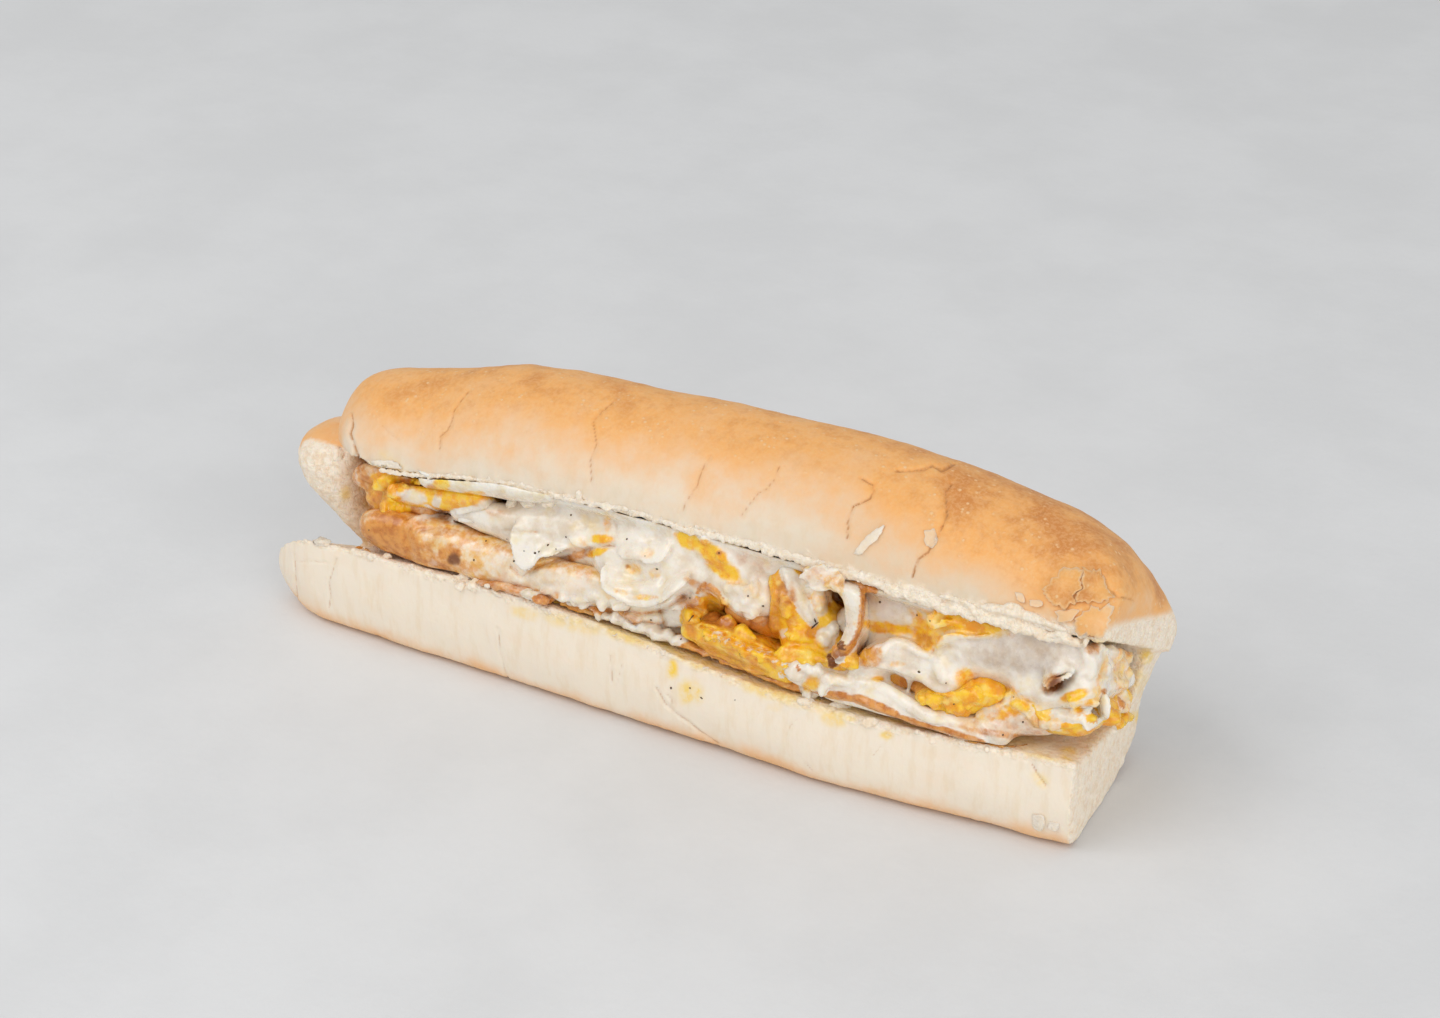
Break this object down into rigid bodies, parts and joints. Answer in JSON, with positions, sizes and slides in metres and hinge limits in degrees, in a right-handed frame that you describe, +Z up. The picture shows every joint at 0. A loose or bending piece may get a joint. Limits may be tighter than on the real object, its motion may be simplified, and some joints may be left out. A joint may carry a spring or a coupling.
{
  "type": "breakfast sandwich",
  "caption": "Long soft roll cut across at one end and opened along its side, filled with folded fried egg in white, yolk and browned pieces.",
  "frame": {"origin": "on the table, under the middle of the sandwich's bounding box", "axes": "+X along the roll towards its cut end, -Y out of the open side that shows the filling, +Z up"},
  "size_m": [0.21, 0.0519, 0.0702],
  "materials": {
    "bread": "soft golden-tan crust over pale crumb",
    "egg_white": "moist set egg white",
    "egg_yolk": "moist cooked yolk",
    "browned_egg": "fried egg browned at its edges"
  },
  "bodies": {
    "root": {"roll": "bread", "curled_strip": "browned_egg", "white_strip": "egg_white", "omelette_slab": "egg_yolk", "lower_sheet": "egg_white", "white_ribbons": "egg_white", "yellow_crumble": "egg_yolk", "end_swirl": "egg_white", "big_white_fold": "egg_white", "brown_bits": "browned_egg", "browned_fold": "browned_egg", "curd_mass": "egg_white", "yolk_band": "egg_yolk", "crumbly_tip": "egg_white", "yolk_pocket": "egg_yolk", "yolk_cone": "egg_yolk", "white_veil": "egg_white", "end_yolk": "egg_yolk", "beige_egg": "egg_white", "white_sheet": "egg_white", "back_white": "egg_white", "lower_curds": "egg_white", "end_white": "egg_white", "torn_brown": "browned_egg"}
  },
  "joints": []
}
